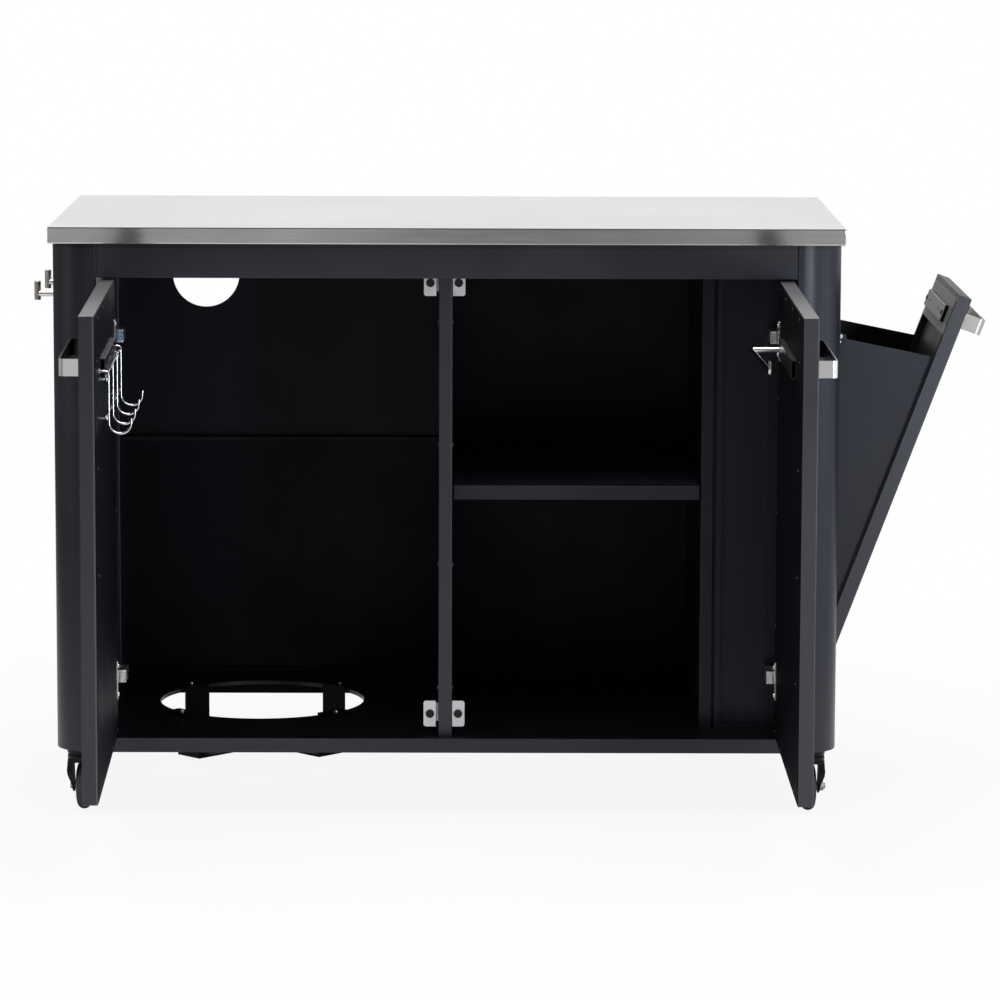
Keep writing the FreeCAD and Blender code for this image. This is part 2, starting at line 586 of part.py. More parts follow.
def hook_rack():
    """Chrome wire rack: two long wires carry four J hooks, and the end hooks run into the door."""
    x0, face = -DOOR_HINGE_X, -CAB_Y + DOOR_T
    out, back = face + RACK_OFF, face + RACK_RAIL_OFF
    first, last = x0 + RACK_US[0], x0 + RACK_US[-1]
    wires = [rod(first, back, z, X_AXIS, RACK_WIRE, last - first) for z in (RACK_RAIL_Z, RACK_LOW_Z)]
    for u in RACK_US:
        x = x0 + u
        hook = [(x, out, RACK_BOTTOM_Z), (x, out + RACK_REACH, RACK_BOTTOM_Z),
                (x, out + RACK_REACH + 1, RACK_TIP_Z)]
        if u in (RACK_US[0], RACK_US[-1]):
            hook = [(x, face, RACK_TOP_Z), (x, out, RACK_TOP_Z)] + hook
            wires.append(wire_rod(hook, RACK_WIRE, (5, 15, 15)))
        else:
            wires.append(wire_rod([(x, out, RACK_RAIL_Z + 4)] + hook, RACK_WIRE, (15, 15)))
    return fuse(wires[0], *wires[1:])


def hook_rack_studs():
    """Round feet round the rack's wire ends, and ball-headed studs beside its long wires."""
    x0, face = -DOOR_HINGE_X, -CAB_Y + DOOR_T
    parts = []
    for u in (RACK_US[0], RACK_US[-1]):
        foot = rod(x0 + u, face, RACK_TOP_Z, Y_AXIS, 4.2, 2)
        parts.append(foot.cut(rod(x0 + u, face - 1, RACK_TOP_Z, Y_AXIS, RACK_WIRE, 10)))
    for u, z in RACK_STUDS:
        ball = Part.makeSphere(2.9, V(x0 + u, face + RACK_RAIL_OFF - 0.8, z))
        parts.append(fuse(ball, rod(x0 + u, face, z, Y_AXIS, 1.6, RACK_RAIL_OFF - 2)))
    return group(parts)


def roll_holder():
    """Paper roll rod of the right door, drawn on the left door and mirrored later."""
    x0, face = -DOOR_HINGE_X, -CAB_Y + DOOR_T
    near_end, far_end = x0 + ROLL_U1, x0 + ROLL_U0
    path = [(far_end, face + 2.5, ROLL_Z), (far_end, face + ROLL_OFF0, ROLL_Z),
            (near_end, face + ROLL_OFF1, ROLL_Z), (near_end, face + ROLL_OFF1, ROLL_TIP_Z)]
    return wire_rod(path, ROLL_R, (5, 5))


def roll_base():
    """Wall plate of the roll holder with the collar round its rod and one screw."""
    x, face = -DOOR_HINGE_X + ROLL_U0, -CAB_Y + DOOR_T
    plate = box(x - 8, x + 8, face, face + 2.5, ROLL_Z - 21, ROLL_Z + 8)
    plate = plate.makeFillet(5, edges_along(plate, Y_AXIS, lambda p: True))
    ring = rod(x, face + 2.5, ROLL_Z, Y_AXIS, 6, 2.5).cut(rod(x, face, ROLL_Z, Y_AXIS, ROLL_R, 12))
    screw = rod(x, face + 2.5, ROLL_Z - 15, Y_AXIS, 3.2, 4.5)
    return fuse(plate, ring, screw)


def open_left(shape):
    return turned(shape, V(-PIVOT_X, PIVOT_Y, 0), Z_AXIS, -LEFT_OPEN)


def open_right(shape):
    return turned(mirror_x(shape), V(PIVOT_X, PIVOT_Y, 0), Z_AXIS, RIGHT_OPEN)


def door_pieces():
    """Pieces that both doors have, drawn for the left door and shut."""
    x_mid, face = -DOOR_HINGE_X + DOOR_W / 2, -CAB_Y + DOOR_T
    handle, bar = strap_handle(), backing_bar(DOOR_BACKING_L)
    handle.translate(V(x_mid, -CAB_Y, DOOR_HANDLE_Z))
    bar.translate(V(x_mid, face, DOOR_HANDLE_Z))
    leaves = group([solid for z in HINGE_ZS for solid in hinge_leaf(z)])
    return {"outer": leaf_pin_room(door_outer()), "liner": leaf_pin_room(door_liner()),
            "handle": handle, "handle_backing": bar, "hinge_leaves": leaves}


def bin_panel_outer():
    tray = pan(CAB_X - BIN_T + 1, CAB_X, -BIN_HALF_Y, BIN_HALF_Y, DOOR_Z0, BIN_Z1, "+X")
    return tray.cut(rod(BIN_PIVOT_X, -200, BIN_PIVOT_Z, Y_AXIS, BIN_PIN_R, 400))


def bin_panel_liner():
    """Inner sheet of the bin panel, pressed back between the bin's walls below its top part."""
    x0, edge, y = CAB_X - BIN_T, 8.0, BIN_PRESS_Y
    sheet = box(x0, x0 + 1, -BIN_HALF_Y + edge, BIN_HALF_Y - edge, DOOR_Z0 + edge, BIN_Z1 - edge)
    sheet = sheet.makeFillet(3, edges_along(sheet, X_AXIS, lambda p: True))
    press = box(x0, x0 + BIN_PRESS + 1, -y, y, BIN_PRESS_Z0, BIN_PRESS_Z1)
    hollow = box(x0 - 1, x0 + BIN_PRESS, -y + 1, y - 1, BIN_PRESS_Z0 + 1, BIN_PRESS_Z1 - 1)
    return sheet.fuse(press).cut(hollow).removeSplitter()


def rim_height(x):
    """Height of the bin's sloping rim at a place across it, with the bin shut."""
    return DOOR_Z1 - BIN_RIM_DROP - (CAB_X - BIN_T - x) * math.tan(math.radians(BIN_RIM_SLOPE))


def bin_body():
    """Sheet bin open at the top; its three walls and bottom are flanged to the panel."""
    x0, x1 = BIN_BODY_X, CAB_X - BIN_T
    outer = box(x0, x1, -BIN_BODY_Y, BIN_BODY_Y, BIN_BODY_Z, 760)
    outer = round_edges(outer, 6, Z_AXIS, lambda p: p.x < x0 + 1)
    inner = box(x0 + THIN, x1 + 1, -BIN_BODY_Y + THIN, BIN_BODY_Y - THIN, BIN_BODY_Z + THIN, 770)
    inner = round_edges(inner, 6 - THIN, Z_AXIS, lambda p: p.x < x0 + 5)
    shell = outer.cut(inner)
    flange = box(x1 - THIN, x1, -BIN_BODY_Y - 7, -BIN_BODY_Y + THIN, BIN_BODY_Z, 760)
    shell = fuse(shell, flange, mirror_y(flange))
    corners = [V(x0 - 5, -200, rim_height(x0 - 5)), V(x1 + 5, -200, rim_height(x1 + 5)),
               V(x1 + 5, -200, 800), V(x0 - 5, -200, 800)]
    above = Part.Face(Part.makePolygon(corners + corners[:1])).extrude(V(0, 400, 0))
    return shell.cut(above)


def bin_handle():
    handle = turned(strap_handle(), V(0, 0, 0), Z_AXIS, 90)
    handle.translate(V(CAB_X, 0, BIN_HANDLE_Z))
    return handle


def bin_handle_backing():
    bar = turned(backing_bar(BIN_BACKING_L), V(0, 0, 0), Z_AXIS, 90)
    bar.translate(V(CAB_X - BIN_T, 0, BIN_HANDLE_Z))
    return bar


def bin_pivot_pins():
    """Pins in the side edges of the bin panel that turn in the posts."""
    y0 = BIN_HALF_Y - THIN
    pin = rod(BIN_PIVOT_X, y0, BIN_PIVOT_Z, Y_AXIS, BIN_PIN_R, POST_BACK_Y - y0 + 5)
    collar = rod(BIN_PIVOT_X, y0 - 3, BIN_PIVOT_Z, Y_AXIS, 7, 3)
    pin = fuse(pin, collar)
    return group([pin, mirror_y(pin)])


def open_point(x, z):
    """Where a point of the shut bin lies once the bin is tilted open."""
    a = math.radians(BIN_OPEN)
    dx, dz = x - BIN_PIVOT_X, z - BIN_PIVOT_Z
    return (BIN_PIVOT_X + dx * math.cos(a) + dz * math.sin(a), BIN_PIVOT_Z - dx * math.sin(a) + dz * math.cos(a))


def shut_point(x, z):
    """Where a point of the open bin lies once the bin is shut."""
    a = math.radians(-BIN_OPEN)
    dx, dz = x - BIN_PIVOT_X, z - BIN_PIVOT_Z
    return (BIN_PIVOT_X + dx * math.cos(a) + dz * math.sin(a), BIN_PIVOT_Z - dx * math.sin(a) + dz * math.cos(a))


def bin_stop_straps():
    """Straps on the bin's side walls whose turned-out feet meet the stop lugs on the posts."""
    y = BIN_BODY_Y
    lean = math.radians(BIN_OPEN)
    reach = STOP_R + STOP_GAP
    foot_x, foot_z = shut_point(STOP_X - reach * math.cos(lean), STOP_Z + reach * math.sin(lean))
    top_z = rim_height(foot_x) + 8
    strap = box(foot_x - 2, foot_x + 14, y, y + 2, foot_z - 12, top_z)
    strap = round_edges(strap, 4, Y_AXIS, lambda p: p.z > foot_z)
    foot = box(foot_x - 2, foot_x, y, y + 11, foot_z - 12, foot_z + 12)
    piece = fuse(strap, foot)
    for x, z, radius in STRAP_BOLTS:
        piece = piece.cut(rod(x, y - 1, z, Y_AXIS, radius, 10))
    return group([piece, mirror_y(piece)])


def bin_strap_bolts():
    """Round-headed bolts that fix the stop straps."""
    parts = []
    for x, z, radius in STRAP_BOLTS:
        shank = rod(x, BIN_BODY_Y, z, Y_AXIS, radius, 2)
        head = rod(x, BIN_BODY_Y + 2, z, Y_AXIS, radius + 1.2, 3)
        head = head.makeFillet(1.2, [e for e in head.Edges
                                     if len(e.Vertexes) == 1 and e.Vertexes[0].Point.y > BIN_BODY_Y + 4])
        bolt = fuse(shank, head)
        parts += [bolt, mirror_y(bolt)]
    return group(parts)


def hex_prism(x, y, z, half_flats, height):
    """A hexagon head on an axis along Y."""
    r = half_flats / math.cos(math.radians(30))
    points = [V(x + r * math.cos(math.radians(60 * i)), y, z + r * math.sin(math.radians(60 * i)))
              for i in range(7)]
    return Part.Face(Part.makePolygon(points)).extrude(V(0, height, 0))


def bin_stop_lugs():
    """Rubber-capped lugs on the posts that stop the tilting bin."""
    lug = rod(STOP_X, POST_BACK_Y - 11, STOP_Z, Y_AXIS, STOP_R, 11)
    return group([lug, mirror_y(lug)])


def open_bin(shape):
    return turned(shape, V(BIN_PIVOT_X, 0, BIN_PIVOT_Z), Y_AXIS, BIN_OPEN)


def round_rim(shape, radius, z, bigger):
    """Round the circular edges of a turned piece at one height."""
    edges = [e for e in shape.Edges if len(e.Vertexes) == 1 and near(e.Vertexes[0].Point.z, z)
             and e.Length > 2 * math.pi * bigger]
    return shape.makeFillet(radius, edges)


def caster_plate():
    """Fixed upper part of a caster at the origin: disc, stem, race and king pin."""
    stem = rod(0, 0, CAB_BOTTOM, Z_AXIS, 5, 26)
    disc = rod(0, 0, DISC_Z, Z_AXIS, DISC_R, CAB_BOTTOM - DISC_Z)
    disc = round_rim(disc, 2.5, DISC_Z, 20)
    race = rod(0, 0, RACE_Z, Z_AXIS, DISC_R - 3, DISC_Z - RACE_Z + 1)
    king = rod(0, 0, 75.5, Z_AXIS, KING_R, 20)
    head = rod(0, 0, 75.5, Z_AXIS, 6, 3.0)
    return fuse(disc, stem, race, king, head)


def fork():
    """Swivelling fork: bearing cap, boss, crown and two legs that trail towards +Y."""
    cap = rod(0, 0, CAP_Z0, Z_AXIS, CAP_R, CAP_Z1 - CAP_Z0)
    cap = round_rim(cap, 1.5, CAP_Z1, 20)
    boss = rod(0, 0, CROWN_Z0, Z_AXIS, 11, CAP_Z1 - CROWN_Z0 - 1)
    crown = box(-FORK_IN - 8.5, FORK_IN + 8.5, -19, 20, CROWN_Z0, CROWN_Z1)
    crown = crown.makeFillet(7, edges_along(crown, Z_AXIS, lambda p: True))
    leg = fork_leg()
    body = fuse(cap, boss, crown, leg, mirror_x(leg))
    body = body.cut(rod(0, 0, 70, Z_AXIS, KING_R + PIN_FIT, 30))
    return body.cut(rod(-40, TRAIL, WHEEL_R, X_AXIS, AXLE_R, 80))


def fork_leg():
    """One pressed leg: a tapering plate with turned-out edges, widest at half its height."""
    x0, t, wide = FORK_IN, 2.5, 9.5
    ends = CROWN_Z0 + 1
    side = [(-17, ends), (18, ends), (TRAIL + 10.5, WHEEL_R + 3), (TRAIL + 8, WHEEL_R - 7),
            (TRAIL, WHEEL_R - 11), (TRAIL - 8, WHEEL_R - 7), (TRAIL - 12, WHEEL_R + 4), (-14, 64)]
    wire = Part.makePolygon([V(x0, y, z) for y, z in side + side[:1]])
    shell = Part.Face(wire).extrude(V(wide, 0, 0))
    pocket = Part.Face(wire).makeOffset2D(-2.2).extrude(V(wide, 0, 0))
    pocket.translate(V(t, 0, 0))
    front = [(0, 90), (x0 + 8.5, 90), (x0 + 8.5, 76), (x0 + 9.5, 68), (x0 + 9.3, 58),
             (x0 + 7, 48), (x0 + 4, 38), (x0 + 3, 26), (0, 26)]
    reach = [V(x, -60, z) for x, z in front + front[:1]]
    keep = Part.Face(Part.makePolygon(reach)).extrude(V(0, 150, 0))
    return fuse(shell.cut(pocket).common(keep), rod(x0, TRAIL, WHEEL_R, X_AXIS, 8, 4))


def axle():
    """Axle bolt along X with a low round head on the left and a nut on a long thread on the right."""
    face = FORK_IN + 4
    bolt = rod(-face, TRAIL, WHEEL_R, X_AXIS, AXLE_R, 2 * face + 8.5)
    head = rod(-face - 3, TRAIL, WHEEL_R, X_AXIS, 6.5, 3)
    nut = turned(hex_prism(0, 0, 0, 6.5, 5.5), V(0, 0, 0), Z_AXIS, -90)
    nut.translate(V(face, TRAIL, WHEEL_R))
    return fuse(bolt, head, nut)


def wheel():
    """Wheel with a rounded tread, softly tapered sides and a hub that runs on the axle."""
    bore = AXLE_R + PIN_FIT
    half = [(bore, HUB_HALF), (9.5, HUB_HALF), (9.5, 11.2), (14, 11.2), (15.5, 12.3), (24, 11.6),
            (30.5, 10.2)]
    right = [V(x, 0, r) for r, x in half]
    left = [V(-x, 0, r) for r, x in reversed(half)]
    tread = Part.Arc(right[-1], V(0, 0, WHEEL_R), left[0]).toShape()
    sides = Part.makePolygon(right).Edges + Part.makePolygon(left).Edges
    floor = Part.makeLine(left[-1], right[0])
    outline = Part.Wire(Part.__sortEdges__(sides + [tread, floor]))
    body = Part.Face(outline).revolve(V(0, 0, 0), X_AXIS, 360)
    body.translate(V(0, TRAIL, WHEEL_R))
    return body


def caster_places():
    return {"front_left": (-CASTER_X, -CASTER_Y), "front_right": (CASTER_X, -CASTER_Y),
            "rear_left": (-CASTER_X, CASTER_Y), "rear_right": (CASTER_X, CASTER_Y)}


def moved(shape, x, y):
    copy = shape.copy()
    copy.translate(V(x, y, 0))
    return copy


def build():
    nodes = {}
    nodes["worktop_skin"] = worktop_skin()
    nodes["worktop_stiffeners"] = worktop_stiffeners()
    post, pin_hole = corner_post()
    drilled = post.cut(pin_hole)
    nodes["front_posts"] = group([drilled, mirror_x(post)])
    nodes["rear_posts"] = group([mirror_y(drilled), mirror_y(mirror_x(post))])
    plates = group(end_plates())
    nodes["post_end_plates"] = group([plates, mirror_x(plates), mirror_y(plates), mirror_x(mirror_y(plates))])
    nodes["front_top_rail"] = front_top_rail()
    nodes["upper_rails"] = upper_rails()
    nodes["floor_pan"] = screw_holes(floor_pan())
    nodes["floor_stiffeners"] = floor_stiffeners()
    nodes["left_side_panel"] = left_side_panel()
    nodes["rear_lower_panel"] = rear_lower_panel()
    nodes["rear_upper_panel"] = rear_upper_panel()
    nodes["divider_panel"] = divider_panel()
    nodes["bin_partition"] = upright_wall(PART_X0, PART_X1, PART_FRONT)
    nodes["bin_bay_front"] = bin_bay_front()
    nodes["shelf"] = shelf()
    nodes["shelf_brackets"] = shelf_brackets()
    nodes["cradle_straps"] = cradle_straps()
    nodes["cradle_screws"] = cradle_screws()
    nodes["hinge_arms"] = hinge_arms()
    nodes["catch_plates"] = catch_pairs(catch_plate)
    nodes["catch_magnets"] = catch_pairs(catch_magnet)
    nodes["side_hooks"] = side_hooks()
    nodes["divider_screws"] = divider_screws()
    nodes["bin_stop_lugs"] = bin_stop_lugs()
    for name, shape in door_pieces().items():
        nodes["left_door_" + name] = open_left(shape)
        nodes["right_door_" + name] = open_right(shape)
    nodes["hook_rack"] = open_left(hook_rack())
    nodes["hook_rack_studs"] = open_left(hook_rack_studs())
    nodes["roll_holder_arm"] = open_right(roll_holder())
    nodes["roll_holder_base"] = open_right(roll_base())
    for name, shape in (("bin_panel_outer", bin_panel_outer()), ("bin_panel_liner", bin_panel_liner()),
                        ("bin_body", bin_body()), ("bin_handle", bin_handle()),
                        ("bin_handle_backing", bin_handle_backing()), ("bin_pivot_pins", bin_pivot_pins()),
                        ("bin_stop_straps", bin_stop_straps()), ("bin_strap_bolts", bin_strap_bolts())):
        nodes[name] = open_bin(shape)
    casters = caster_places()
    nodes["caster_plates"] = group([moved(caster_plate(), x, y) for x, y in casters.values()])
    for name, (x, y) in casters.items():
        nodes[name + "_fork"] = moved(fork(), x, y)
        nodes[name + "_axle"] = moved(axle(), x, y)
        nodes[name + "_wheel"] = moved(wheel(), x, y)
    return nodes


def main():
    os.makedirs("parts", exist_ok=True)
    for name, shape in build().items():
        if not shape.isValid() or not shape.Solids:
            print("check", name, "valid", shape.isValid(), "solids", len(shape.Solids))
        shape.exportStep("parts/" + name + ".step")


main()
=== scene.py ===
import math

import bmesh
import bpy
from mathutils import Matrix, Vector


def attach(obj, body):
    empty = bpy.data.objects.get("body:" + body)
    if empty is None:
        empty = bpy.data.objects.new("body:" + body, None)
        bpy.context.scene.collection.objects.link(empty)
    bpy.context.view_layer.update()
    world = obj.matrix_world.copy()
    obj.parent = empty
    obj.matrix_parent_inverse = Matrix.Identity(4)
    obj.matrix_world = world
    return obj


# Grill cart with storage. Metres, +Z up, front towards -Y, origin on the floor under the worktop's centre.

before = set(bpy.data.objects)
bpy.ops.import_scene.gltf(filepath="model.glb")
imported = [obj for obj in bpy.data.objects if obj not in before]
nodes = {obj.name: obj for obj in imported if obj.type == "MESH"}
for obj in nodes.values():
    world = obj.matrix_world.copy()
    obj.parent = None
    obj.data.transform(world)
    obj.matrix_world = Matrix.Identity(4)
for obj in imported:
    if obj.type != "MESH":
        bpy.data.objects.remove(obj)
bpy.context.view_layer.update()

MM = 0.001

# Camera that matches the photograph, solved from the worktop, doors and casters
CAMERA_AT = (0.03777, -7.33995, 1.52171)
CAMERA_YAW, CAMERA_PITCH, CAMERA_ROLL = 0.006124, -0.144943, 0.00343
CAMERA_LENS, CAMERA_SENSOR, CAMERA_REACH = 169.2, 36.0, 200.0


def opened(axis, degrees, pivot):
    """How a piece that was drawn shut stands open at rest: the turn and the shift that bring it there."""
    turn = Matrix.Rotation(math.radians(degrees), 3, axis)
    pivot = Vector(pivot) * MM
    return turn, pivot - turn @ pivot


# The doors and the bin, which stand open at rest. Their own places below are those of the shut cart.
LEFT_DOOR = opened("Z", -88.8, (-519.9, -275.0, 0.0))
RIGHT_DOOR = opened("Z", 90.0, (519.9, -275.0, 0.0))
BIN = opened("Y", 20.5, (587.0, 0.0, 239.8))

# Casters, in millimetres: their king pins, how far the wheels trail behind them, and the wheels' radius
CASTER_X, CASTER_Y, TRAIL, WHEEL_R = 558.5, 242.0, 22.0, 37.5


# Node helpers

class Nodes:
    """A node tree, with short calls for the few nodes that the finishes and the stage need."""

    def __init__(self, tree):
        self.tree = tree

    def node(self, kind, **settings):
        made = self.tree.nodes.new(kind)
        for key, value in settings.items():
            setattr(made, key, value)
        return made

    def link(self, source, target):
        self.tree.links.new(source, target)

    def spread(self, value, low, high, start=0.0, end=1.0, easing="LINEAR"):
        """The value's range from start to end stretched to low and high."""
        made = self.node("ShaderNodeMapRange", interpolation_type=easing)
        for name, number in (("From Min", start), ("From Max", end), ("To Min", low), ("To Max", high)):
            made.inputs[name].default_value = number
        self.link(value, made.inputs["Value"])
        return made.outputs["Result"]

    def math(self, operation, a, b=None):
        made = self.node("ShaderNodeMath", operation=operation)
        for value, socket in ((a, made.inputs[0]), (b, made.inputs[1])):
            if isinstance(value, (int, float)):
                socket.default_value = value
            elif value is not None:
                self.link(value, socket)
        return made.outputs[0]

    def parted(self, vector):
        """The three coordinates of a vector."""
        made = self.node("ShaderNodeSeparateXYZ")
        self.link(vector, made.inputs[0])
        return made.outputs

    def length(self, vector):
        made = self.node("ShaderNodeVectorMath", operation="LENGTH")
        self.link(vector, made.inputs[0])
        return made.outputs["Value"]

    def glow(self, kind, strength=1.0):
        """A white emission or background whose strength is a number or comes from a node."""
        made = self.node(kind)
        made.inputs["Color"].default_value = (1, 1, 1, 1)
        if isinstance(strength, (int, float)):
            made.inputs["Strength"].default_value = strength
        else:
            self.link(strength, made.inputs["Strength"])
        return made.outputs[0]

    def blend(self, factor, first, second):
        """Two shaders mixed by a factor."""
        made = self.node("ShaderNodeMixShader")
        for number, source in enumerate((factor, first, second)):
            self.link(source, made.inputs[number])
        return made.outputs[0]


class Shader(Nodes):
    """A material's nodes, new or already made, with its surface shader."""

    def __init__(self, material):
        if isinstance(material, str):
            material = bpy.data.materials.new(material)
            material.use_nodes = True
        super().__init__(material.node_tree)
        self.material = material
        self.bsdf = self.tree.nodes["Principled BSDF"]

    def place(self, scale=(1, 1, 1), shift=(0, 0, 0), stands=None):
        """The piece's own coordinates in metres, brought back to the shut cart, then scaled and shifted."""
        place = self.node("ShaderNodeTexCoord").outputs["Object"]
        if stands:
            turn, moved = stands
            back = turn.inverted()
            shut = self.node("ShaderNodeMapping")
            shut.inputs["Rotation"].default_value = back.to_euler()
            shut.inputs["Location"].default_value = -(back @ moved)
            self.link(place, shut.inputs["Vector"])
            place = shut.outputs["Vector"]
        mapping = self.node("ShaderNodeMapping")
        mapping.inputs["Scale"].default_value = scale
        mapping.inputs["Location"].default_value = shift
        self.link(place, mapping.inputs["Vector"])
        return mapping.outputs["Vector"]

    def noise(self, vector, scale, detail=2.0, roughness=0.5):
        made = self.node("ShaderNodeTexNoise")
        made.inputs["Scale"].default_value = scale
        made.inputs["Detail"].default_value = detail
        made.inputs["Roughness"].default_value = roughness
        self.link(vector, made.inputs["Vector"])
        return made.outputs["Fac"]

    def mix(self, factor, first, second):
        """Two colours, or a colour and another node's colour, mixed by a factor."""
        made = self.node("ShaderNodeMix", data_type="RGBA")
        self.link(factor, made.inputs["Factor"])
        for value, socket in ((first, made.inputs["A"]), (second, made.inputs["B"])):
            if isinstance(value, (tuple, list)):
                socket.default_value = (*value, 1.0)
            else:
                self.link(value, socket)
        return made.outputs["Result"]

    def bump(self, height, strength, distance, normal=None):
        made = self.node("ShaderNodeBump")
        made.inputs["Strength"].default_value = strength
        made.inputs["Distance"].default_value = distance
        self.link(height, made.inputs["Height"])
        if normal is not None:
            self.link(normal, made.inputs["Normal"])
        return made.outputs["Normal"]

    def set(self, **values):
        """Plain numbers and colours on the surface shader's own sockets."""
        for name, value in values.items():
            socket = self.bsdf.inputs[name.replace("_", " ")]
            socket.default_value = (*value, 1.0) if isinstance(value, (tuple, list)) else value

    def feed(self, name, source):
        self.link(source, self.bsdf.inputs[name])


def shade(colour, factor):
    return tuple(min(1.0, c * factor) for c in colour)


# Finishes

# Small tilts that keep the stretch of a highlight defined on faces square to it
SMALL_TILT = (0.05, 0.08, 0.06)
STRAP_TILT = (0.06, 0.25, 0.06)

# Waves to the metre in the brushed grain: along it, across it on a flat sheet and on a bent strap, and smears
ALONG_FINE, ALONG_BROAD = 14.0, 3.0
ACROSS_FINE, SHEET_BROAD, STRAP_BROAD = 3800.0, 260.0, 420.0
SMEARS = 3.0

# Waves to the metre in the other finishes
CLOUDS, PATCHES, FLECKS, PEBBLES = 2.6, 9.0, 420.0, 1000.0
PLATE_HAZE, PLATE_RIPPLES = 60.0, 240.0
RUBBER_DUST, RUBBER_SKIN = 35.0, 1500.0
WHEEL_DUST, WHEEL_SKIN = 60.0, 1400.0

# How far a toned place's edge runs out to each side, in millimetres
TONE_EDGE = 0.2

# Wheels, in metres: where the tread begins, and the fine ring between it and the hub
TREAD_BEGINS = (0.0255, 0.0262)
RING_R, RING_HALF = 0.0258, 0.0005


def powder_coat(name, colour, rough=0.34, grain=1.0, gloss=0.6, seed=0.0, tint=(1.0, 1.0, 1.0)):
    """Fine textured powder coat: a pebbled skin, soft clouds of tone, paler flecks and uneven gloss."""
    s = Shader(name)
    at = s.place(shift=(seed, seed * 0.7, seed * 1.3))
    cloud = s.noise(at, CLOUDS, 3.0, 0.55)
    mottle = s.noise(at, FLECKS / grain, 2.0, 0.6)
    tone = s.mix(s.spread(cloud, 0.0, 1.0, 0.3, 0.7), shade(colour, 0.88), shade(colour, 1.12))
    fleck = s.spread(mottle, 0.0, 0.35, 0.45, 0.75)
    s.feed("Base Color", s.mix(fleck, tone, shade(colour, 1.7)))
    patch = s.noise(at, PATCHES, 4.0, 0.6)
    s.feed("Roughness", s.spread(patch, rough - 0.05, rough + 0.05, 0.3, 0.7))
    pebble = s.node("ShaderNodeTexVoronoi", feature="SMOOTH_F1")
    pebble.inputs["Scale"].default_value = PEBBLES / grain
    pebble.inputs["Smoothness"].default_value = 1.0
    s.link(at, pebble.inputs["Vector"])
    fine = s.bump(pebble.outputs["Distance"], 0.35, 0.00012)
    s.feed("Normal", s.bump(mottle, 0.25, 0.0001, fine))
    s.set(Specular_IOR_Level=gloss, Specular_Tint=tint)
    return s.material


def brushed(name, colour, along, rough=0.28, spread=0.8, streak=0.5, seed=0.0, across=None, stands=None):
    """Brushed stainless steel whose grain runs along one axis of the piece at rest.

    A bent strap has its grain along the bends, so its lines keep their height and its highlights
    spread along one fixed axis across it."""
    s = Shader(name)
    if across is None:
        fine, broad = [ACROSS_FINE] * 3, [SHEET_BROAD] * 3
        fine[along], broad[along] = ALONG_FINE, ALONG_BROAD
    else:
        fine, broad = [ALONG_FINE] * 3, [ALONG_BROAD] * 3
        fine[across], broad[across] = ACROSS_FINE, STRAP_BROAD
    grain = s.noise(s.place(fine, (seed, seed, seed), stands), 1.0, 3.0, 0.6)
    band = s.noise(s.place(broad, (seed + 3, seed, seed), stands), 1.0, 3.0, 0.6)
    smear = s.noise(s.place(shift=(seed, 2, 1)), SMEARS, 3.0, 0.6)
    both = s.math("ADD", s.math("MULTIPLY", grain, 0.6), s.math("MULTIPLY", band, 0.4))
    dark, light = shade(colour, 1.0 - 0.12 * streak), shade(colour, 1.0 + 0.06 * streak)
    s.feed("Base Color", s.mix(s.spread(both, 0.0, 1.0, 0.35, 0.65), dark, light))
    lines = s.spread(both, rough - 0.05 * streak, rough + 0.06 * streak, 0.35, 0.65)
    s.feed("Roughness", s.math("ADD", lines, s.spread(smear, -0.02, 0.03, 0.3, 0.7)))
    s.feed("Normal", s.bump(grain, 0.12 * streak, 0.00003))
    direction = Vector(SMALL_TILT if across is None else STRAP_TILT)
    direction[along if across is None else across] = 1.0
    if stands:
        direction = stands[0] @ direction
    axis = s.node("ShaderNodeCombineXYZ")
    for i in range(3):
        axis.inputs[i].default_value = direction[i]
    turned = s.node("ShaderNodeVectorTransform", vector_type="VECTOR")
    turned.convert_from, turned.convert_to = "OBJECT", "WORLD"
    s.link(axis.outputs[0], turned.inputs[0])
    stretch = turned.outputs[0]
    if across is None:
        facing = s.node("ShaderNodeNewGeometry")
        product = s.node("ShaderNodeVectorMath", operation="CROSS_PRODUCT")
        s.link(facing.outputs["Normal"], product.inputs[0])
        s.link(stretch, product.inputs[1])
        stretch = product.outputs[0]
    s.feed("Tangent", stretch)
    s.set(Metallic=1.0, Anisotropic=spread)
    return s.material


def toned(material, colour, low, high, stands=None):
    """The same finish in another colour inside a box.

    Its lowest and highest corner are in millimetres of the shut cart, and None leaves a side open."""
    s = Shader(material)
    place = s.parted(s.place(stands=stands))
    inside = None
    for axis in range(3):
        for limit, outer, inner in ((low[axis], 0.0, 1.0), (high[axis], 1.0, 0.0)):
            if limit is None:
                continue
            side = s.spread(place[axis], outer, inner, (limit - TONE_EDGE) * MM, (limit + TONE_EDGE) * MM)
            inside = side if inside is None else s.math("MULTIPLY", inside, side)
    before = s.bsdf.inputs["Base Color"].links[0].from_socket
    s.feed("Base Color", s.mix(inside, before, colour))


def plated(name, colour, rough, seed=0.0):
    """Chrome or nickel plate: bright, with faint haze and tiny ripples."""
    s = Shader(name)
    at = s.place(shift=(seed, seed, 0))
    haze = s.noise(at, PLATE_HAZE, 4.0, 0.6)
    s.feed("Base Color", s.mix(haze, shade(colour, 0.93), colour))
    s.feed("Roughness", s.spread(haze, rough * 0.7, rough * 1.5, 0.3, 0.7))
    s.feed("Normal", s.bump(s.noise(at, PLATE_RIPPLES), 0.05, 0.0001))
    s.set(Metallic=1.0)
    return s.material


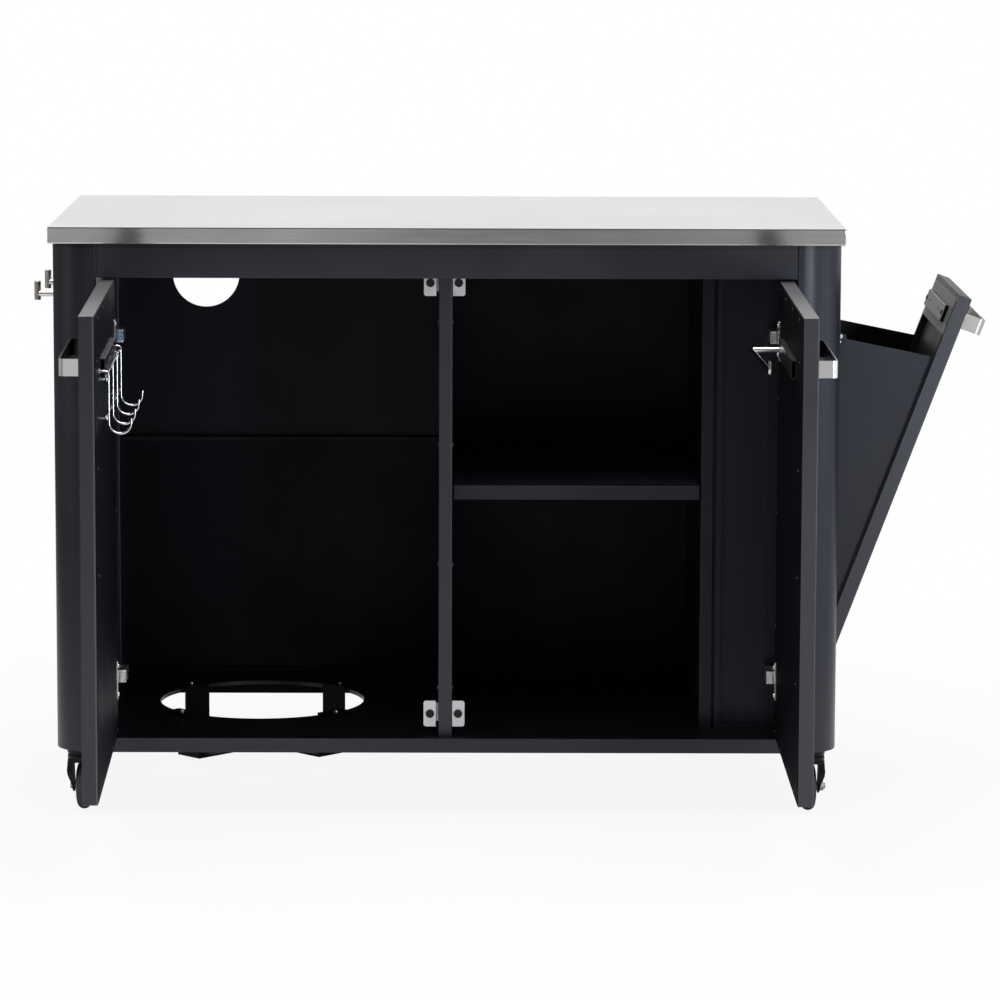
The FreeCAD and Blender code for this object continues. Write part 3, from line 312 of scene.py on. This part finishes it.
def rubber(name, colour, rough=0.75, seed=0.0):
    s = Shader(name)
    at = s.place(shift=(seed, 0, seed))
    dust = s.noise(at, RUBBER_DUST, 4.0, 0.6)
    s.feed("Base Color", s.mix(s.spread(dust, 0.0, 1.0, 0.35, 0.7), colour, shade(colour, 1.5)))
    s.feed("Roughness", s.spread(dust, rough - 0.08, rough + 0.08, 0.3, 0.7))
    s.feed("Normal", s.bump(s.noise(at, RUBBER_SKIN), 0.2, 0.0001))
    s.set(Specular_IOR_Level=0.35)
    return s.material


def wheel_finish(name, centre, tread, hub):
    """Moulded wheel about an axis along X: rubber tread, a fine parting ring, and a smoother plastic hub."""
    s = Shader(name)
    at = s.place(shift=(-centre[0], -centre[1], -centre[2]))
    _, y, z = s.parted(at)
    flat = s.node("ShaderNodeCombineXYZ")
    s.link(y, flat.inputs[1])
    s.link(z, flat.inputs[2])
    radius = s.length(flat.outputs[0])
    outer = s.spread(radius, 0.0, 1.0, *TREAD_BEGINS)
    dust = s.noise(at, WHEEL_DUST, 4.0, 0.6)
    rim = s.mix(s.spread(dust, 0.0, 1.0, 0.35, 0.7), tread, shade(tread, 1.45))
    s.feed("Base Color", s.mix(outer, hub, rim))
    s.feed("Roughness", s.math("ADD", s.spread(outer, 0.38, 0.7), s.spread(dust, -0.05, 0.05, 0.3, 0.7)))
    off_ring = s.math("ABSOLUTE", s.math("SUBTRACT", radius, RING_R))
    ring = s.math("SUBTRACT", 1.0, s.spread(off_ring, 0.0, 1.0, 0.0, RING_HALF))
    grooved = s.bump(s.math("MULTIPLY", ring, -1.0), 0.6, 0.0004)
    s.feed("Normal", s.bump(s.noise(at, WHEEL_SKIN), 0.15, 0.0001, grooved))
    return s.material


X_AXIS, Y_AXIS, Z_AXIS = 0, 1, 2

# Coat colours: outside, painted shade deep inside and between the two, full painted shade, and the inner
# coats' shine
COAT = (0.0120, 0.0123, 0.0214)
COAT_SHADED = (0.0021, 0.0021, 0.0036)
COAT_HALF_SHADED = (0.0048, 0.0047, 0.0072)
BLACK = (0.0002, 0.0002, 0.0003)
COOL = (0.84, 0.81, 1.0)

cabinet_coat = powder_coat("cabinet_coat", COAT, gloss=0.68, seed=0.0)
rail_coat = powder_coat("rail_coat", COAT, gloss=0.68, seed=0.3)
post_coat = powder_coat("post_coat", COAT, gloss=0.52, seed=0.9)
shelf_coat = powder_coat("shelf_coat", COAT, gloss=0.38, seed=2.9)
floor_coat = powder_coat("floor_coat", COAT, gloss=0.5, seed=4.9)
# Painted shade: the coats inside are the outer coat made darker, the upper rear and the left liner less so
inner_coat = powder_coat("inner_coat", COAT_SHADED, rough=0.40, gloss=0.15, seed=1.7, tint=COOL)
rear_low_coat = powder_coat("rear_low_coat", COAT_SHADED, rough=0.40, gloss=0.15, seed=1.2, tint=COOL)
rear_coat = powder_coat("rear_coat", (0.0038, 0.0037, 0.0052), rough=0.42, gloss=0.25, seed=2.4,
                        tint=COOL)
left_door_coat = powder_coat("left_door_coat", COAT, gloss=0.72, seed=3.1)
right_door_coat = powder_coat("right_door_coat", COAT, gloss=0.85, seed=3.8)
left_liner_coat = powder_coat("left_liner_coat", shade(COAT_SHADED, 1.6), rough=0.48, gloss=0.25, seed=4.3,
                              tint=COOL)
right_liner_coat = powder_coat("right_liner_coat", COAT_SHADED, rough=0.50, gloss=0.12, seed=4.7, tint=COOL)
bin_coat = powder_coat("bin_coat", COAT, gloss=0.42, seed=5.9)
# Painted light: the bin panel's outer coat a little lighter, and its liner and bar pale grey where light
# falls
bin_panel_coat = powder_coat("bin_panel_coat", shade(COAT, 1.15), gloss=0.75, seed=5.2)
bin_liner_coat = powder_coat("bin_liner_coat", (0.145, 0.145, 0.147), rough=0.40, grain=0.8, seed=8.1)
bin_bar_coat = powder_coat("bin_bar_coat", (0.205, 0.205, 0.205), rough=0.40, grain=0.8, seed=7.9)
# Painted shade, half as deep: the coat of the bin bay
middle_coat = powder_coat("middle_coat", COAT_HALF_SHADED, rough=0.36, gloss=0.45, seed=6.6, tint=COOL)
left_bar_coat = powder_coat("left_bar_coat", (0.010, 0.010, 0.012), rough=0.26, grain=0.8, seed=7.7)
right_bar_coat = powder_coat("right_bar_coat", (0.010, 0.010, 0.012), rough=0.26, grain=0.8, seed=7.1)
caster_coat = powder_coat("caster_coat", (0.0016, 0.0016, 0.0018), rough=0.30, grain=0.6, gloss=0.22,
                          seed=8.4)
worktop_steel = brushed("worktop_steel", (0.72, 0.72, 0.72), X_AXIS, rough=0.17, spread=1.0)
# Painted light and shade: the three handles are one steel, the left one made lighter and warmer, the bin's
# darker
left_handle_steel = brushed("left_handle_steel", (0.95, 0.935, 0.92), Y_AXIS, rough=0.24, streak=0.16,
                            seed=2.0, across=Z_AXIS, stands=LEFT_DOOR)
right_handle_steel = brushed("right_handle_steel", (0.92, 0.91, 0.90), Y_AXIS, rough=0.24, streak=0.16,
                             seed=3.0, across=Z_AXIS, stands=RIGHT_DOOR)
bin_handle_steel = brushed("bin_handle_steel", (0.68, 0.65, 0.62), Y_AXIS, rough=0.26, streak=0.16,
                           seed=9.0, across=Z_AXIS, stands=BIN)
hook_steel = brushed("hook_steel", (0.90, 0.87, 0.86), Z_AXIS, rough=0.25, seed=5.0)
sheet_steel = brushed("sheet_steel", (0.5, 0.51, 0.52), X_AXIS, rough=0.4, spread=0.3, seed=6.0)
chrome_wire = plated("chrome_wire", (0.82, 0.82, 0.83), 0.08, seed=1.0)
arm_nickel = plated("arm_nickel", (0.72, 0.72, 0.73), 0.24, seed=2.6)
leaf_nickel = plated("leaf_nickel", (0.72, 0.72, 0.73), 0.22, seed=2.0)
screw_zinc = plated("screw_zinc", (0.66, 0.66, 0.68), 0.26, seed=3.0)
screw_black = powder_coat("screw_black", (0.012, 0.012, 0.014), rough=0.25, grain=0.5, seed=9.3)
magnet_cup = plated("magnet_cup", (0.035, 0.035, 0.036), 0.40, seed=4.0)
catch_nickel = plated("catch_nickel", (0.80, 0.795, 0.79), 0.42, seed=5.0)
stop_rubber = rubber("stop_rubber", (0.015, 0.015, 0.015))

# Shaded and lit places on those finishes, each a box with its lowest and highest corner
ANY = (None, None, None)
# Painted reflection: a dark line along the worktop's rounded front top edge
toned(worktop_steel, (0.07, 0.07, 0.07), (None, None, 904.5), (None, -298.6, None))
# Painted shadow under the worktop: the top strip of the rail
toned(rail_coat, BLACK, (None, None, 872.9), ANY)
# Painted shade in the seam at the rail's left end
toned(rail_coat, BLACK, ANY, (-527.6, None, None))
# Painted shadow under the worktop: the top strip of the posts and the left side panel
toned(post_coat, BLACK, (None, None, 872.9), ANY)
# Painted shade: the floor pan behind its front sill
toned(floor_coat, COAT_SHADED, (None, -279.3, None), ANY)
# Painted highlight: the top ledge of the lower rear panel
toned(rear_low_coat, (0.0105, 0.0105, 0.0125), (None, None, 508.5), ANY)
# Painted shadow: the lower edge of the upper rear panel, above the ledge
toned(rear_coat, BLACK, ANY, (None, None, 533.0))
# Painted light: the doors' top faces
for coat in (left_door_coat, right_door_coat):
    toned(coat, (0.12, 0.12, 0.125), (None, None, 823.8), ANY)
# Painted highlight: a light line along the left door's inner front edge
toned(left_door_coat, (0.08, 0.08, 0.09), (-3.6, -260.2, None), ANY, LEFT_DOOR)
# Painted shade: the bin panel's liner below its top band
toned(bin_liner_coat, COAT_SHADED, ANY, (None, None, 762.0), BIN)
# Painted shade inside the bin bar's channel, behind its holes
toned(bin_bar_coat, BLACK, (570.6, -130.0, 777.0), (576.2, 130.0, 805.0), BIN)
# Painted shade: the inside of the bin
toned(bin_coat, BLACK, (428.6, -155.4, 180.4), (None, 155.4, None), BIN)
# Painted light: the top faces of the door handles' backing bars, lighter on the left
toned(left_bar_coat, (0.14, 0.14, 0.145), (None, None, 750.2), ANY)
toned(right_bar_coat, (0.05, 0.05, 0.052), (None, None, 750.2), ANY)
# Painted shade: the inside of each door handle, near the door
toned(left_handle_steel, (0.024, 0.024, 0.024), (-393.75, -314.5, None),
      (-132.75, None, None), LEFT_DOOR)
toned(right_handle_steel, (0.02, 0.02, 0.02), (132.75, -314.5, None),
      (393.75, None, None), RIGHT_DOOR)
# Painted shade: the catch plates' parts set back behind their front
toned(catch_nickel, (0.01, 0.01, 0.01), (None, -238.6, None), ANY)
# Painted light: the lower hinges paler than the nickel
for nickel in (arm_nickel, leaf_nickel):
    toned(nickel, (0.98, 0.96, 0.93), ANY, (None, None, 300.0))
# Painted light: the upper hinge arms white
toned(arm_nickel, (1.0, 1.0, 1.0), (None, None, 600.0), ANY)
# The right upper hinge block keeps the plain nickel colour
toned(arm_nickel, (0.72, 0.72, 0.73), (0.0, None, 730.0), (None, None, 744.0))
# Painted reflection: the left upper hinge block pale blue
toned(arm_nickel, (0.55, 0.76, 1.0), (None, None, 730.0), (0.0, None, 744.0))

FINISHES = {
    "worktop_skin": worktop_steel,
    "front_posts": post_coat, "rear_posts": post_coat, "front_top_rail": rail_coat,
    "upper_rails": cabinet_coat, "floor_pan": floor_coat, "left_side_panel": post_coat,
    "divider_panel": cabinet_coat, "shelf": shelf_coat,
    "rear_lower_panel": rear_low_coat, "rear_upper_panel": rear_coat, "bin_partition": middle_coat,
    "bin_bay_front": middle_coat, "cradle_straps": inner_coat,
    "worktop_stiffeners": sheet_steel, "floor_stiffeners": inner_coat, "shelf_brackets": inner_coat,
    "post_end_plates": sheet_steel,
    "cradle_screws": screw_zinc, "divider_screws": screw_black,
    "bin_strap_bolts": screw_zinc, "bin_pivot_pins": screw_zinc,
    "hinge_arms": arm_nickel, "left_door_hinge_leaves": leaf_nickel, "right_door_hinge_leaves": leaf_nickel,
    "catch_plates": catch_nickel, "catch_magnets": magnet_cup,
    "side_hooks": hook_steel, "bin_stop_lugs": stop_rubber,
    "left_door_outer": left_door_coat, "right_door_outer": right_door_coat, "bin_panel_outer": bin_panel_coat,
    "left_door_liner": left_liner_coat, "right_door_liner": right_liner_coat,
    "bin_panel_liner": bin_liner_coat,
    "left_door_handle": left_handle_steel, "right_door_handle": right_handle_steel,
    "bin_handle": bin_handle_steel,
    "left_door_handle_backing": left_bar_coat, "right_door_handle_backing": right_bar_coat,
    "bin_handle_backing": bin_bar_coat,
    "hook_rack": chrome_wire, "hook_rack_studs": chrome_wire,
    "roll_holder_arm": chrome_wire, "roll_holder_base": chrome_wire,
    "bin_body": bin_coat, "bin_stop_straps": bin_coat,
    "caster_plates": caster_coat,
}

# Colours of a wheel's tread and hub
TREAD, HUB = (0.035, 0.035, 0.037), (0.02, 0.02, 0.021)
for corner, (i, j) in (("front_left", (-1, -1)), ("front_right", (1, -1)),
                       ("rear_left", (-1, 1)), ("rear_right", (1, 1))):
    centre = (i * CASTER_X * MM, (j * CASTER_Y + TRAIL) * MM, WHEEL_R * MM)
    FINISHES[corner + "_fork"] = caster_coat
    FINISHES[corner + "_axle"] = screw_zinc
    FINISHES[corner + "_wheel"] = wheel_finish(corner + "_wheel_finish", centre, TREAD, HUB)

for name, piece in nodes.items():
    piece.data.materials.clear()
    piece.data.materials.append(FINISHES[name])


# Small screws that the CAD model leaves out

SCREW_STEPS = 16


def screw_rings(radius, height):
    """Radius and height of each ring of a domed head with a drive recess, from the seat to the recess."""
    return ((radius, -0.2), (radius, 0.35 * height), (0.86 * radius, 0.78 * height), (0.6 * radius, height),
            (0.42 * radius, height), (0.36 * radius, 0.5 * height))


def screw_heads(name, body, material, points, out, stands):
    """Screw heads with their seats at points of the shut cart, in millimetres, and their axis along out.

    Each point carries its own radius and height."""
    facing = Vector(out).to_track_quat("Z", "Y").to_matrix()
    turn, moved = stands
    corners, faces = [], []
    for at, radius, height in points:
        first = len(corners)
        rings = screw_rings(radius, height)
        for ring, level in rings:
            for step in range(SCREW_STEPS):
                angle = 2 * math.pi * step / SCREW_STEPS
                local = Vector((ring * math.cos(angle), ring * math.sin(angle), level))
                corners.append(turn @ ((Vector(at) + facing @ local) * MM) + moved)
        for ring in range(len(rings) - 1):
            for step in range(SCREW_STEPS):
                a = first + ring * SCREW_STEPS + step
                b = first + ring * SCREW_STEPS + (step + 1) % SCREW_STEPS
                faces.append((a, b, b + SCREW_STEPS, a + SCREW_STEPS))
        last = first + (len(rings) - 1) * SCREW_STEPS
        faces.append(tuple(range(last, last + SCREW_STEPS)))
        faces.append(tuple(reversed(range(first, first + SCREW_STEPS))))
    mesh = bpy.data.meshes.new(name)
    mesh.from_pydata(corners, [], faces)
    mesh.materials.append(material)
    heads = bpy.data.objects.new(name, mesh)
    bpy.context.scene.collection.objects.link(heads)
    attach(heads, body)


# The left door's screws mirror the right door's. Each screw has its seat, radius and height.
LINER_Y = -257.0
LINER_SCREWS = [((x, LINER_Y, z), 2.0, 1.1) for x in (76.0, 222.0, 365.0, 508.0) for z in (136.0, 814.0)]
LINER_SCREWS += [((64.0, LINER_Y, z), 2.0, 1.1) for z in (754.0, 600.0, 446.0, 292.0)]
LINER_SCREWS += [((508.0, LINER_Y, z), 2.0, 1.1) for z in (648.0, 474.0, 300.0)]
MIRRORED_SCREWS = [((-x, y, z), radius, height) for (x, y, z), radius, height in LINER_SCREWS]
BIN_BAR_X, BIN_BAR_Z = 569.0, 791.0
BIN_BAR_SCREWS = [((BIN_BAR_X, side * along, BIN_BAR_Z), radius, height)
                  for side in (-1, 1) for along, radius, height in ((115.0, 3.8, 1.7), (65.0, 1.8, 0.9))]

screw_grey = powder_coat("screw_grey", (0.030, 0.030, 0.032), rough=0.30, grain=0.5, seed=9.5)
# Painted shade: screw_dark is darker than black paint, for the dark holes that the bin bar's screws sit in
screw_dark = powder_coat("screw_dark", (0.0010, 0.0010, 0.0012), rough=0.35, grain=0.5, gloss=0.3, seed=9.7)
screw_heads("left_liner_screws", "left_door", screw_grey, MIRRORED_SCREWS, (0, 1, 0), LEFT_DOOR)
screw_heads("right_liner_screws", "right_door", screw_grey, LINER_SCREWS, (0, 1, 0), RIGHT_DOOR)
screw_heads("bin_bar_screws", "waste_bin", screw_dark, BIN_BAR_SCREWS, (-1, 0, 0), BIN)


# Stage: white floor, soft lights and the world

FLOOR_RADIUS, FLOOR_Z, FLOOR_GREY = 60.0, -0.0002, 0.82

# The floor's share of plain white, as low, high, first and last metre from the origin
FLOOR_WHITE = (0.90, 1.0, 0.6, 2.0)

# What the floor sends to glossy finishes, each as low, high, first and last place in metres
SHINE_AHEAD = (0.02, 1.0, -7.0, -5.9)
SHINE_LEFT = (0.10, 1.0, -2.2, -1.2)
SHINE_RIGHT = (1.0, 0.6, 1.0, 1.8)
DIP_X, SHINE_DIP = 0.3, (0.50, 1.0, 0.0, 0.7)
# Painted shadow: BESIDE_CART and BEFORE_CART dim the floor's glow under the cart in what glossy finishes
# mirror
BESIDE_CART = (0.06, 1.0, 0.50, 0.75)
BEFORE_CART = (0.06, 1.0, 0.25, 0.50)
NEAR_LEFT_X = (0.82, 1.0, -0.50, -0.25)
NEAR_LEFT_Y = (1.0, 0.82, -3.2, -2.2)

# What the room sends to glossy finishes, each as low, high, first and last part of the direction
ROOM_BEHIND = (0.0, 0.92, 0.3, 0.9)
BEHIND_ACROSS = (1.0, 0.0, 0.09, 0.32)
ROOM_LEFT = (0.42, 0.0, -0.9, -0.3)
ROOM_SIDES = (0.02, 0.14, 0.1, 0.5)
ROOM_ABOVE = (0.0, 0.70, 0.24, 0.62)

# The even light that the room sends to everything else
ROOM_SOFT = 0.3

# Each lamp's name, place, the point it faces, width, height, watts and colour.
# The strip ends below the worktop, so the steel on top doesn't mirror it.
LAMPS = (
    ("top_light", (0.0, -0.8, 3.7), (0, -0.1, 0.4), 4.6, 3.2, 125, (1, 1, 1)),
    ("right_light", (3.33, -1.38, 1.3), (0.55, -0.26, 0.5), 2.6, 2.4, 26, (0.65, 0.78, 1.0)),
    ("left_light", (-3.2, -1.0, 1.3), (-0.4, 0, 0.5), 1.6, 2.2, 4.4, (1.0, 0.84, 0.62)),
    ("strip_light", (1.8, -3.2, 0.22), (0.54, -0.28, 0.22), 0.30, 1.34, 31, (0.80, 0.90, 1.0)),
)


def flat_disc(name, radius, height):
    mesh = bpy.data.meshes.new(name)
    bm = bmesh.new()
    bmesh.ops.create_circle(bm, cap_ends=True, segments=96, radius=radius)
    bm.to_mesh(mesh)
    bm.free()
    disc = bpy.data.objects.new(name, mesh)
    disc.location.z = height
    bpy.context.scene.collection.objects.link(disc)
    return disc


def floor_material():
    """White floor that keeps the soft shadow near the cart and turns to plain white further out."""
    s = Shader("studio_floor")
    s.tree.nodes.remove(s.bsdf)
    output = next(n for n in s.tree.nodes if n.type == "OUTPUT_MATERIAL")
    matte = s.node("ShaderNodeBsdfDiffuse")
    matte.inputs["Color"].default_value = (FLOOR_GREY, FLOOR_GREY, FLOOR_GREY, 1)
    ray = s.node("ShaderNodeLightPath").outputs
    seen = s.math("MAXIMUM", ray["Is Camera Ray"], ray["Is Transmission Ray"])
    white = s.math("MULTIPLY", seen, s.spread(s.length(s.place()), *FLOOR_WHITE))
    plain = s.blend(white, matte.outputs[0], s.glow("ShaderNodeEmission"))

    x, y, _ = s.parted(s.place())
    dip = s.spread(s.math("ABSOLUTE", s.math("SUBTRACT", x, DIP_X)), *SHINE_DIP)
    beside = s.spread(s.math("ABSOLUTE", x), *BESIDE_CART)
    before = s.spread(s.math("ABSOLUTE", y), *BEFORE_CART)
    near_left = s.math("MAXIMUM", s.spread(x, *NEAR_LEFT_X), s.spread(y, *NEAR_LEFT_Y))
    across = s.math("MULTIPLY", s.spread(x, *SHINE_LEFT), s.math("MULTIPLY", s.spread(x, *SHINE_RIGHT), dip))
    shaded = s.math("MULTIPLY", near_left, s.math("MAXIMUM", beside, before))
    strength = s.math("MULTIPLY", s.spread(y, *SHINE_AHEAD), s.math("MULTIPLY", across, shaded))
    mirrored = s.glow("ShaderNodeEmission", strength)
    s.link(s.blend(ray["Is Glossy Ray"], plain, mirrored), output.inputs["Surface"])
    return s.material


floor = flat_disc("studio_floor", FLOOR_RADIUS, FLOOR_Z)
floor.data.materials.append(floor_material())


def softbox(name, at, target, width, height, watts, colour):
    light = bpy.data.lights.new(name, "AREA")
    light.shape = "RECTANGLE"
    light.size, light.size_y = width, height
    light.energy = watts
    light.color = colour
    lamp = bpy.data.objects.new(name, light)
    lamp.location = at
    lamp.rotation_mode = "QUATERNION"
    lamp.rotation_quaternion = (Vector(target) - Vector(at)).to_track_quat("-Z", "Y")
    lamp.visible_camera = False
    bpy.context.scene.collection.objects.link(lamp)


for lamp in LAMPS:
    softbox(*lamp)


def build_world():
    """Plain white to the camera, an even soft light, and a graded room to the glossy finishes."""
    world = bpy.data.worlds.new("studio_world")
    world.use_nodes = True
    bpy.context.scene.world = world
    w = Nodes(world.node_tree)
    w.tree.nodes.clear()
    ray = w.node("ShaderNodeLightPath").outputs
    seen = w.math("MAXIMUM", ray["Is Camera Ray"], ray["Is Transmission Ray"])
    x, y, z = w.parted(w.node("ShaderNodeTexCoord").outputs["Generated"])
    sideways = w.math("ABSOLUTE", x)

    def graded(source, stretch):
        return w.spread(source, *stretch, easing="SMOOTHSTEP")

    behind = w.math("MULTIPLY", graded(y, ROOM_BEHIND), graded(sideways, BEHIND_ACROSS))
    sides = w.math("ADD", graded(x, ROOM_LEFT), graded(sideways, ROOM_SIDES))
    level = w.math("MAXIMUM", w.math("ADD", behind, sides), graded(z, ROOM_ABOVE))
    soft, room, plain = (w.glow("ShaderNodeBackground", strength) for strength in (ROOM_SOFT, level, 1.0))
    lit = w.blend(ray["Is Glossy Ray"], soft, room)
    output = w.node("ShaderNodeOutputWorld")
    w.link(w.blend(seen, lit, plain), output.inputs["Surface"])


build_world()


def build_camera():
    cy, sy = math.cos(CAMERA_YAW), math.sin(CAMERA_YAW)
    cp, sp = math.cos(CAMERA_PITCH), math.sin(CAMERA_PITCH)
    ahead = Vector((sy * cp, cy * cp, sp))
    right = Vector((cy, -sy, 0.0))
    up = right.cross(ahead)
    cr, sr = math.cos(CAMERA_ROLL), math.sin(CAMERA_ROLL)
    right, up = right * cr + up * sr, up * cr - right * sr
    data = bpy.data.cameras.new("photo_camera")
    data.sensor_width = CAMERA_SENSOR
    data.lens = CAMERA_LENS
    data.clip_end = CAMERA_REACH
    camera = bpy.data.objects.new("photo_camera", data)
    turn = Matrix((right, up, -ahead)).transposed().to_4x4()
    camera.matrix_world = Matrix.Translation(CAMERA_AT) @ turn
    bpy.context.scene.collection.objects.link(camera)
    bpy.context.scene.camera = camera


build_camera()
bpy.context.scene.view_settings.view_transform = "Standard"
